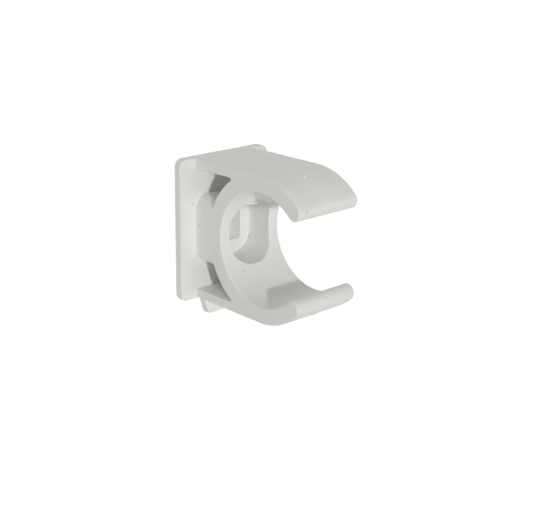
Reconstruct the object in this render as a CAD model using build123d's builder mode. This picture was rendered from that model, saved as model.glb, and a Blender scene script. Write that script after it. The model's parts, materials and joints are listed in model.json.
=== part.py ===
from build123d import *
import math
import os

os.makedirs("parts", exist_ok=True)

# Open snap-in clip that holds a pipe off a wall, moulded in one piece.
# Sizes are in millimetres and angles in degrees. X runs along the pipe, the mouth faces -Y,
# the wall lies at Y = 0, and the pipe's centre line and the screw's middle are at Z = 0.

# Ring round the pipe, open at the front
pipe_diameter = 22.0
ring_wall = 3.25
clip_width = 15.1
mouth_half_angle = 46.2
side_round = 0.3

# Plate that lies against the wall
plate_thickness = 1.7
plate_wing = 3.8
plate_rise = 0.1
plate_fall = 0.25
plate_corner = 1.6
plate_round = 0.3

# Two flat walls that tie the top and bottom of the ring to the plate
tie_wall = 1.9
window_round = 0.35

# Boss between the plate and the back of the ring
boss_length = 4.1
boss_skin = 0.7
boss_corner = 2.7

# Pocket for the screw's head, upright with wide round corners, and the slot for its shank
pocket_width = 10.2
pocket_flat_top = 1.2
pocket_flat_side = 3.5
pocket_round = 0.3
seat_lift = 1.55
slot_width = 5.1
slot_height = 6.9
slot_corner = 0.7

# Tapered tongue that carries the plate on downwards
tongue_root = 11.3
tongue_tip = 8.65
tongue_length = 4.1
tongue_corner = 0.5

# An edge this close to a surface lies on it
hair = 0.001

bore_radius = pipe_diameter / 2
middle_radius = bore_radius + ring_wall / 2
outer_radius = bore_radius + ring_wall
axis_y = -(plate_thickness + boss_length + outer_radius)

plate_width = clip_width + 2 * plate_wing
plate_height = 2 * outer_radius + plate_rise + plate_fall
plate_middle_z = (plate_rise - plate_fall) / 2
plate_bottom = -outer_radius - plate_fall
plate_middle_y = plate_thickness / 2

# The tie walls start inside the plate and run out onto the ring above its centre
wall_length = -axis_y - plate_middle_y
wall_y = axis_y + wall_length / 2
wall_z = outer_radius - tie_wall / 2
wall_inside = outer_radius - tie_wall
window_y = axis_y + math.sqrt(outer_radius**2 - wall_inside**2)

# The mouth is a wedge from the pipe's centre, and each arm ends in a full round
mouth_angle = math.radians(mouth_half_angle)
mouth_y = axis_y - 2 * outer_radius
mouth_z = 2 * outer_radius * math.tan(mouth_angle)
nose_y = axis_y - middle_radius * math.cos(mouth_angle)
nose_z = middle_radius * math.sin(mouth_angle)

pocket_corner = (pocket_width - pocket_flat_top) / 2
pocket_height = 2 * pocket_corner + pocket_flat_side
boss_height = pocket_height + 2 * boss_skin
seat_thickness = plate_thickness + seat_lift


def lies_on_bore(edge):
    """True for an edge whose middle is on the surface that holds the pipe."""
    middle = edge.position_at(0.5)
    return abs(math.hypot(middle.Y - axis_y, middle.Z) - bore_radius) < hair


def rims_a_window(edge):
    """True for an edge behind the pipe's centre that is neither on the bore nor on the top or bottom."""
    middle = edge.position_at(0.5)
    above_or_below = abs(middle.Z) > outer_radius - hair
    return middle.Y > axis_y and not above_or_below and not lies_on_bore(edge)


with BuildPart() as clip_body:
    # Plate with its tongue, front edges rounded
    with BuildSketch(Plane.XZ) as outline:
        with Locations((0, plate_middle_z)):
            RectangleRounded(plate_width, plate_height, plate_corner)
        with BuildLine():
            Polyline(
                (-tongue_root / 2, plate_bottom + plate_corner),
                (-tongue_root / 2, plate_bottom),
                (-tongue_tip / 2, plate_bottom - tongue_length),
                (tongue_tip / 2, plate_bottom - tongue_length),
                (tongue_root / 2, plate_bottom),
                (tongue_root / 2, plate_bottom + plate_corner),
                close=True,
            )
        make_face()
        fillet(outline.vertices().group_by(Axis.Y)[0], tongue_corner)
    extrude(amount=plate_thickness)
    fillet(clip_body.faces().sort_by(Axis.Y)[0].edges(), plate_round)

    # Boss with the ring's width, hollowed so that it ends inside the ring's wall
    with BuildSketch(Plane.XZ.offset(plate_middle_y)):
        RectangleRounded(clip_width, boss_height, boss_corner)
    extrude(amount=wall_length)
    with Locations((0, axis_y, 0)):
        Cylinder(middle_radius, plate_width, rotation=(0, 90, 0), mode=Mode.SUBTRACT)

    # Ring, arms and tie walls, drawn from the side and rounded along the bore, the lips and the outside
    with BuildPart(mode=Mode.PRIVATE) as band:
        with BuildSketch(Plane.YZ) as side:
            with Locations((axis_y, 0)):
                Circle(outer_radius)
            with Locations((wall_y, wall_z), (wall_y, -wall_z)):
                Rectangle(wall_length, tie_wall)
            with Locations((axis_y, 0)):
                Circle(bore_radius, mode=Mode.SUBTRACT)
            with BuildLine():
                Polyline((axis_y, 0), (mouth_y, mouth_z), (mouth_y, -mouth_z), close=True)
            make_face(mode=Mode.SUBTRACT)
            with Locations((nose_y, nose_z), (nose_y, -nose_z)):
                Circle(ring_wall / 2)
            upper_corner = side.vertices().sort_by_distance((window_y, wall_inside, 0))[0]
            lower_corner = side.vertices().sort_by_distance((window_y, -wall_inside, 0))[0]
            fillet([upper_corner, lower_corner], window_round)
        extrude(amount=clip_width / 2, both=True)
        rims = band.faces().filter_by(Axis.X).edges()
        fillet(rims.filter_by(lambda edge: not rims_a_window(edge)), side_round)
    add(band.part)

    # Screw pocket through the back of the ring, and the slot through its floor
    with BuildSketch(Plane.XZ.offset(seat_thickness)):
        RectangleRounded(pocket_width, pocket_height, pocket_corner)
    extrude(amount=-axis_y - seat_thickness, mode=Mode.SUBTRACT)
    fillet(clip_body.edges(Select.LAST).filter_by(lies_on_bore), pocket_round)
    with BuildSketch(Plane.XZ):
        RectangleRounded(slot_width, slot_height, slot_corner)
    extrude(amount=seat_thickness, mode=Mode.SUBTRACT)

clip_body.part.label = "clip_body"
export_step(clip_body.part, "parts/clip_body.step")
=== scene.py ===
import json
import math

import bpy
import numpy as np
from mathutils import Matrix, Vector


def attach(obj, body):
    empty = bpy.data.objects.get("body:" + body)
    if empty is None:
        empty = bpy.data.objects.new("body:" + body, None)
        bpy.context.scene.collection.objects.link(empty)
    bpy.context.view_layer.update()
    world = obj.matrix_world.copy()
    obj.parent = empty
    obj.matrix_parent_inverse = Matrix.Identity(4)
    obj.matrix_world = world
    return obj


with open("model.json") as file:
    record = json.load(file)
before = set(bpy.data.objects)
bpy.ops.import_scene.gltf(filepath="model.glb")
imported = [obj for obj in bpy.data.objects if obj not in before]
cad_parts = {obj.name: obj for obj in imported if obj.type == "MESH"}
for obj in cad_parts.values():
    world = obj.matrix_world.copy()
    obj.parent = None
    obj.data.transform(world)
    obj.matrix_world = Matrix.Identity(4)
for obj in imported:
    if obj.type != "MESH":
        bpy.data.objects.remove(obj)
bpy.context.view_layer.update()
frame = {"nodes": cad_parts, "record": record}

# Metres, in the frame of the solids: X along the pipe, mouth towards -Y, wall at Y = 0, +Z up.
# The specks and the flap's edge are placed in millimetres.
mm_per_metre = 1000.0

# View of the photograph
view_target = Vector((0.0, -0.012, 0.0))
view_distance = 0.212817
view_azimuth = math.radians(-42.659)
view_elevation = math.radians(17.136)
view_roll = math.radians(0.542)
view_lens = 74.038
view_shift = (0.01245, -0.04043)
view_sensor = 36.0
view_nearest = 0.01
view_furthest = 20.0

# Lamp in front, and the soft light of the room
lamp_target = Vector((0.0, -0.015, 0.0))
lamp_distance = 2.0
lamp_azimuth = math.radians(-25.4)
lamp_elevation = math.radians(10.3)
lamp_radius = 0.05
lamp_watts = 65.0
room_level = 0.08
ceiling_level = 0.289
side_wall_level = 0.238
back_wall_level = 0.667

# Floor well below the clip, as it hangs free in the photograph
floor_z = -0.1
floor_half = 3.0
floor_glow = 0.62
floor_light = (0.87, 0.87, 0.87, 1.0)
floor_dark = (0.83, 0.83, 0.83, 1.0)
mottle_scale = 40.0
mottle_detail = 3.0

# Off-white plastic, and the plain white of the room and of the floor's glow
white = (1.0, 1.0, 1.0, 1.0)
plastic_light = (0.91, 0.91, 0.882, 1.0)
plastic_dark = (0.89, 0.89, 0.86, 1.0)
# Colour of the specks and dust, and of the painted shade of one small pit
speck_and_pit_shade_colour = (0.42, 0.41, 0.38, 1.0)
plastic_roughness = 0.5
plastic_specular = 0.3

# Clouding, moulded grain and stray specks of the plastic, with their scales per millimetre
cloud_scale = 0.16
cloud_detail = 3.0
cloud_range = (0.35, 0.65)
grain_scale = 5.0
grain_detail = 2.0
grain_roughness = 0.15
grain_bump = 0.06
grain_depth = 0.0001
speck_scale = 0.33
speck_range = (0.03, 0.06)
speck_cut = 0.75
speck_darkness = 0.6

# Dust specks and the painted shade of one small pit that the photograph shows, as the shape has no
# dent there: place, reach, and darkness.
# Each is full up to a share of its reach.
dust_and_pit_shade_core = 0.4
dust_and_pit_shade = (
    ((-8.25, -1.7, 5.28), 0.28, 0.6),
    ((-7.55, -2.77, 0.92), 0.28, 0.65),
    # Painted shade of the small pit on the front of the upper lip: the shape has no dent there
    ((-5.74, -30.4, 9.33), 0.6, 0.28),
    ((-3.72, -11.59, -7.0), 0.26, 0.45),
    ((-7.51, -4.13, 4.73), 0.2, 0.45),
    ((-7.89, -1.7, -7.98), 0.26, 0.3),
    ((-5.04, -12.65, -8.13), 0.18, 0.4),
    ((4.73, -3.77, -3.52), 0.32, 0.5),
    ((0.65, -11.06, 6.34), 0.3, 0.3),
    ((4.71, -17.64, -10.73), 0.18, 0.35),
    ((-2.68, -17.8, -10.76), 0.18, 0.3),
)

# The bore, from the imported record, and the arms' outside, which the fine pieces follow
pipe_seat = next(mount for mount in frame["record"]["mounts"] if mount["name"] == "pipe_seat")
ring_axis_y = pipe_seat["pos_m"][1]
bore_radius = pipe_seat["dims"]["r_mm"] / mm_per_metre
ring_wall = 0.00325
ring_outside = bore_radius + ring_wall
nose_radius = ring_wall / 2
nose_angle = math.radians(46.2)

# Low seam along the middle of each arm, steeper on its far side. It sinks in at the very front.
seam_x = 0.00015
seam_near_width = 0.0006
seam_far_width = 0.00035
seam_height = 0.0001
seam_sunk = 0.000004
seam_root = 0.00006
seam_start = math.radians(90.0)
seam_end = math.radians(-45.0)
seam_front = math.radians(12.0)
seam_fade = math.radians(12.0)
seam_rows = 60
seam_columns = 17

# Nib left by the mould on the upper seam
nib_x = -0.00017
nib_angle = math.radians(73.7)
nib_half_width = 0.0006
nib_half_length = 0.00025
nib_height = 0.0003
nib_root = 0.00005
nib_pole = 0.03
nib_swell = 0.15
nib_swells = 3.0
nib_rows = 15
nib_columns = 24

# Flap of flash that hangs from the pocket's upper rim: places (x, z) along its lower edge,
# and the bead along that edge, which turns from the sheet's back round to its front
flash_edge = np.array([
    (-2.35, 6.22),
    (-1.61, 6.1),
    (-1.01, 5.97),
    (-0.42, 5.85),
    (-0.05, 5.8),
    (0.25, 5.83),
    (0.36, 5.95),
])
flash_top = 0.00645
flash_bead = 0.00024
flash_bead_start = math.radians(270.0)
flash_bead_end = math.radians(-50.0)
flash_bead_back = 0.00004
flash_front = 0.00014
flash_back = 0.0003
flash_rows = 49
flash_columns = 17

# Edges of the fine pieces that turn by more than this stay sharp
crease_angle = math.radians(50.0)


class Value:
    """One output of a node. Arithmetic on it adds Math nodes to the same tree."""

    def __init__(self, graph, socket):
        self.graph = graph
        self.socket = socket

    def __add__(self, other):
        return self.graph.math("ADD", self, other)

    __radd__ = __add__

    def __sub__(self, other):
        return self.graph.math("SUBTRACT", self, other)

    def __rsub__(self, other):
        return self.graph.math("SUBTRACT", other, self)

    def __mul__(self, other):
        return self.graph.math("MULTIPLY", self, other)

    __rmul__ = __mul__

    def __lt__(self, other):
        return self.graph.math("LESS_THAN", self, other)

    def __gt__(self, other):
        return self.graph.math("GREATER_THAN", self, other)


class Graph:
    """A node tree, emptied and drawn afresh."""

    def __init__(self, tree):
        self.tree = tree
        tree.nodes.clear()

    def node(self, kind, settings=(), inputs=(), output=0):
        """Adds a node, makes its settings, sets or links its inputs, and gives an output."""
        node = self.tree.nodes.new(kind)
        for name, value in dict(settings).items():
            setattr(node, name, value)
        for key, value in dict(inputs).items():
            if isinstance(value, Value):
                self.tree.links.new(value.socket, node.inputs[key])
            else:
                node.inputs[key].default_value = value
        return Value(self, node.outputs[output]) if node.outputs else None

    def math(self, operation, *values):
        """One Math node on two values or numbers."""
        return self.node("ShaderNodeMath", {"operation": operation}, dict(enumerate(values)))

    def blend(self, share, first, second):
        """The first colour where share is 0, and the second where it is 1. A Mix node has its
        colours in sockets 6 and 7, and gives the blend as output 2."""
        return self.node(
            "ShaderNodeMix", {"data_type": "RGBA"}, {"Factor": share, 6: first, 7: second}, 2
        )

    def step(self, value, low, high):
        """0 below low, 1 above high, and a smooth rise between them."""
        return self.node(
            "ShaderNodeMapRange",
            {"interpolation_type": "SMOOTHSTEP"},
            {"Value": value, "From Min": low, "From Max": high},
        )

    def seen(self):
        """1 for what the camera, a reflection or a clear body shows, and 0 for falling light."""
        path = [
            self.node("ShaderNodeLightPath", output=name)
            for name in ("Is Camera Ray", "Is Glossy Ray", "Is Transmission Ray")
        ]
        return self.math("MAXIMUM", self.math("MAXIMUM", path[0], path[1]), path[2])


def new_graph(material):
    """A fresh node tree for a material."""
    material.use_nodes = True
    return Graph(material.node_tree)


def moulded_plastic():
    """Off-white moulded plastic: faint clouding, a fine moulded grain, a few dust specks, and the
    painted shade of one small pit.
    """
    material = bpy.data.materials.new("moulded_plastic")
    g = new_graph(material)
    place = g.node("ShaderNodeTexCoord", output="Object")
    place_mm = g.node(
        "ShaderNodeVectorMath", {"operation": "SCALE"}, {0: place, "Scale": mm_per_metre}
    )

    cloud_inputs = {"Vector": place_mm, "Scale": cloud_scale, "Detail": cloud_detail}
    clouds = g.node("ShaderNodeTexNoise", {}, cloud_inputs)
    grain_inputs = {"Vector": place_mm, "Scale": grain_scale, "Detail": grain_detail}
    grain = g.node("ShaderNodeTexNoise", {}, grain_inputs)
    cell_inputs = {"Vector": place_mm, "Scale": speck_scale}
    speck_reach = g.node("ShaderNodeTexVoronoi", {}, cell_inputs, "Distance")
    speck_pick = g.node("ShaderNodeTexVoronoi", {}, cell_inputs, "Color")
    specks_and_pit_shade = (1.0 - g.step(speck_reach, *speck_range)) * (speck_pick > speck_cut) * speck_darkness
    # Dust specks, and the painted shade of one small pit
    for centre, reach, darkness in dust_and_pit_shade:
        away = g.node(
            "ShaderNodeVectorMath", {"operation": "DISTANCE"}, {0: place_mm, 1: centre}, "Value"
        )
        here = (1.0 - g.step(away, dust_and_pit_shade_core * reach, reach)) * darkness
        specks_and_pit_shade = g.math("MAXIMUM", specks_and_pit_shade, here)

    colour = g.blend(g.step(clouds, *cloud_range), plastic_dark, plastic_light)
    colour = g.blend(specks_and_pit_shade, colour, speck_and_pit_shade_colour)
    bump = g.node(
        "ShaderNodeBump", {}, {"Strength": grain_bump, "Distance": grain_depth, "Height": grain}
    )
    shader = g.node(
        "ShaderNodeBsdfPrincipled",
        {},
        {
            "Base Color": colour,
            "Roughness": plastic_roughness + (grain - 0.5) * grain_roughness,
            "Specular IOR Level": plastic_specular,
            "Normal": bump,
        },
    )
    g.node("ShaderNodeOutputMaterial", {}, {"Surface": shader})
    return material


def white_floor():
    """Matt white floor that keeps shadows: a plain diffuse face, and a glow that is only seen."""
    material = bpy.data.materials.new("white_floor")
    g = new_graph(material)
    place = g.node("ShaderNodeTexCoord", output="Object")
    mottle_inputs = {"Vector": place, "Scale": mottle_scale, "Detail": mottle_detail}
    mottle = g.node("ShaderNodeTexNoise", {}, mottle_inputs)
    paper = g.blend(mottle, floor_dark, floor_light)
    face = g.node("ShaderNodeBsdfDiffuse", {}, {"Color": paper})
    glow = g.node("ShaderNodeEmission", {}, {"Color": white, "Strength": g.seen() * floor_glow})
    shader = g.node("ShaderNodeAddShader", {}, {0: face, 1: glow})
    g.node("ShaderNodeOutputMaterial", {}, {"Surface": shader})
    return material


def arm_outside(angle):
    """Points (y, z) on the upper arm's outside, and the normals there. The angle is that of the
    normal above the front: down to the nose angle the point lies on the ring's outer circle, and
    below it on the small circle of the nose."""
    outward = np.stack([-np.cos(angle), np.sin(angle)], axis=-1)
    nose = np.array([-math.cos(nose_angle), math.sin(nose_angle)])
    centre = np.where((angle < nose_angle)[:, None], (ring_outside - nose_radius) * nose, 0.0)
    radius = np.where(angle < nose_angle, nose_radius, ring_outside)
    return np.array([ring_axis_y, 0.0]) + centre + radius[:, None] * outward, outward


def seam_rings(side):
    """Rings of the seam on the upper (1) or lower (-1) arm: a low bump carried along the arm's
    outside. Over the width, u from -1 to 1, its height is the square of cos(u * 90 degrees). Along
    the arm the height fades in and out at the ends and sinks to nothing round the very front."""
    round_ring = np.linspace(seam_start, nose_angle, seam_rows)
    round_nose = np.linspace(nose_angle, seam_end, seam_rows)
    angle = np.concatenate([round_ring, round_nose[1:]])
    line, outward = arm_outside(angle)
    ends = np.minimum(seam_start - angle, angle - seam_end) / seam_fade
    front = (np.abs(angle) - seam_front) / seam_fade
    fade = np.clip(np.minimum(ends, front), 0.0, 1.0)
    fade = fade * fade * (3.0 - 2.0 * fade)
    u = np.linspace(-1.0, 1.0, seam_columns)
    x = seam_x + np.where(u < 0.0, u * seam_near_width, u * seam_far_width)
    lift = seam_height * fade[:, None] * np.cos(u * math.pi / 2) ** 2 - seam_sunk
    x = np.concatenate([x, x[[-1, 0]]])
    lift = np.concatenate([lift, np.full((len(angle), 2), -seam_root)], axis=1)
    yz = line[:, None, :] + lift[:, :, None] * outward[:, None, :]
    rings = np.stack([np.broadcast_to(x, lift.shape), yz[:, :, 0], side * yz[:, :, 1]], axis=-1)
    return rings if side > 0 else rings[:, ::-1]


def nib_rings():
    """Rings of the nib, from its top to its root: an uneven dome, flat at both poles. At depth t
    from 0 to 1 a ring's radius goes with sin(t * 180 degrees) and its height with
    cos(t * 180 degrees), and round it the radius swells three times."""
    point, outward = (part[0] for part in arm_outside(np.array([nib_angle])))
    along = np.array([outward[1], -outward[0]])
    depth = np.linspace(nib_pole, 1.0 - nib_pole, nib_rows)[:, None] * math.pi
    turn = np.linspace(0.0, 2.0 * math.pi, nib_columns, endpoint=False)[None, :]
    spread = np.sin(depth) * (1.0 + nib_swell * np.cos(nib_swells * turn))
    height = np.where(np.cos(depth) > 0.0, nib_height, nib_root)
    rise = np.cos(depth) * height * np.ones_like(turn)
    x = nib_x + nib_half_width * spread * np.cos(turn)
    reach = nib_half_length * spread * np.sin(turn)
    yz = point + reach[:, :, None] * along + rise[:, :, None] * outward
    return np.concatenate([x[:, :, None], yz], axis=-1)


def flash_rings():
    """Rings of the flap of flash, from left to right: a thin sheet just behind the bore, with a
    round bead along its lower edge. At angle a round the bore, Y is the axis plus the radius times
    cos(a), and Z is the radius times sin(a). The bead is most of a circle about the edge, and the
    rest of it opens into the sheet."""
    x_mm = np.linspace(flash_edge[0, 0], flash_edge[-1, 0], flash_rows)
    edge_z = np.interp(x_mm, flash_edge[:, 0], flash_edge[:, 1]) / mm_per_metre
    edge = np.arcsin(edge_z / bore_radius)
    outward = np.stack([np.cos(edge), np.sin(edge)], axis=-1)[:, None, :]
    upward = np.stack([-np.sin(edge), np.cos(edge)], axis=-1)[:, None, :]
    turn = np.linspace(flash_bead_start, flash_bead_end, flash_columns)[None, :, None]
    round_edge = np.cos(turn) * upward - np.sin(turn) * outward
    bead = (bore_radius + flash_bead_back) * outward + flash_bead * round_edge
    radius = bore_radius + np.array([flash_front, flash_back])
    sheet = np.stack([np.sqrt(radius**2 - flash_top**2), np.full(2, flash_top)], axis=-1)
    yz = np.concatenate([bead, np.broadcast_to(sheet, (flash_rows, 2, 2))], axis=1)
    yz = yz + np.array([ring_axis_y, 0.0])
    x = np.broadcast_to(x_mm[:, None, None] / mm_per_metre, yz.shape[:2] + (1,))
    return np.concatenate([x, yz], axis=-1)


def add_piece(name, rings, material):
    """Closed skin over rings of points: each ring joined to the next, and the end rings filled."""
    rows, columns = rings.shape[:2]
    index = np.arange(rows * columns).reshape(rows, columns)
    here, ahead = index[:-1], index[1:]
    quads = np.stack([here, ahead, np.roll(ahead, -1, axis=1), np.roll(here, -1, axis=1)], axis=-1)
    faces = quads.reshape(-1, 4).tolist() + [index[0].tolist(), index[-1, ::-1].tolist()]
    mesh = bpy.data.meshes.new(name)
    mesh.from_pydata(rings.reshape(-1, 3).tolist(), [], faces)
    mesh.shade_smooth()
    mesh.set_sharp_from_angle(angle=crease_angle)
    mesh.materials.append(material)
    piece = bpy.data.objects.new(name, mesh)
    bpy.context.scene.collection.objects.link(piece)
    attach(piece, "root")


def towards(azimuth, elevation):
    """Direction to a point at this azimuth, where 0 is the front, and this elevation."""
    level = math.cos(elevation)
    return Vector((math.sin(azimuth) * level, -math.cos(azimuth) * level, math.sin(elevation)))


def add_camera():
    """Camera at the photograph's view, turned a little about its own line of sight."""
    back = towards(view_azimuth, view_elevation)
    level_right = Vector((math.cos(view_azimuth), math.sin(view_azimuth), 0.0))
    level_up = back.cross(level_right)
    right = level_right * math.cos(view_roll) + level_up * math.sin(view_roll)
    up = level_up * math.cos(view_roll) - level_right * math.sin(view_roll)
    data = bpy.data.cameras.new("photo_view")
    data.sensor_fit = "HORIZONTAL"
    data.sensor_width = view_sensor
    data.lens = view_lens
    data.shift_x, data.shift_y = view_shift
    data.clip_start = view_nearest
    data.clip_end = view_furthest
    camera = bpy.data.objects.new("photo_view", data)
    turn = Matrix((right, up, back)).transposed().to_4x4()
    camera.matrix_world = Matrix.Translation(view_target + back * view_distance) @ turn
    bpy.context.scene.collection.objects.link(camera)
    bpy.context.scene.camera = camera


def add_lamp():
    """Small lamp in front, a little to the near side, which draws the shadows."""
    data = bpy.data.lights.new("key_lamp", "POINT")
    data.energy = lamp_watts
    data.shadow_soft_size = lamp_radius
    lamp = bpy.data.objects.new("key_lamp", data)
    lamp.location = lamp_target + towards(lamp_azimuth, lamp_elevation) * lamp_distance
    bpy.context.scene.collection.objects.link(lamp)


def add_room():
    """White room: faint even light, with more from the ceiling, the far side and the wall behind.
    To the eye it is plain white."""
    world = bpy.data.worlds.new("white_room")
    world.use_nodes = True
    bpy.context.scene.world = world
    g = Graph(world.node_tree)
    outward = g.node("ShaderNodeTexCoord", output="Generated")
    light = room_level
    for axis, wall_level in (("X", side_wall_level), ("Y", back_wall_level), ("Z", ceiling_level)):
        reach = g.node("ShaderNodeSeparateXYZ", {}, {"Vector": outward}, axis)
        light = light + g.math("MAXIMUM", reach, 0.0) * wall_level
    seen = g.seen()
    level = light * (1.0 - seen) + seen
    shader = g.node("ShaderNodeBackground", {}, {"Color": white, "Strength": level})
    g.node("ShaderNodeOutputWorld", {}, {"Surface": shader})


def add_floor():
    """Large flat floor below the clip."""
    mesh = bpy.data.meshes.new("floor")
    corners = [(-1, -1), (1, -1), (1, 1), (-1, 1)]
    points = [(x * floor_half, y * floor_half, floor_z) for x, y in corners]
    mesh.from_pydata(points, [], [(0, 1, 2, 3)])
    mesh.materials.append(white_floor())
    floor = bpy.data.objects.new("floor", mesh)
    bpy.context.scene.collection.objects.link(floor)


bpy.context.scene.view_settings.view_transform = "Standard"
add_camera()
add_lamp()
add_room()
add_floor()

clip_body = frame["nodes"]["clip_body"]
clip_body.data.materials.clear()
plastic = moulded_plastic()
clip_body.data.materials.append(plastic)
add_piece("upper_seam", seam_rings(1), plastic)
add_piece("lower_seam", seam_rings(-1), plastic)
add_piece("mould_nib", nib_rings(), plastic)
add_piece("pocket_flash", flash_rings(), plastic)
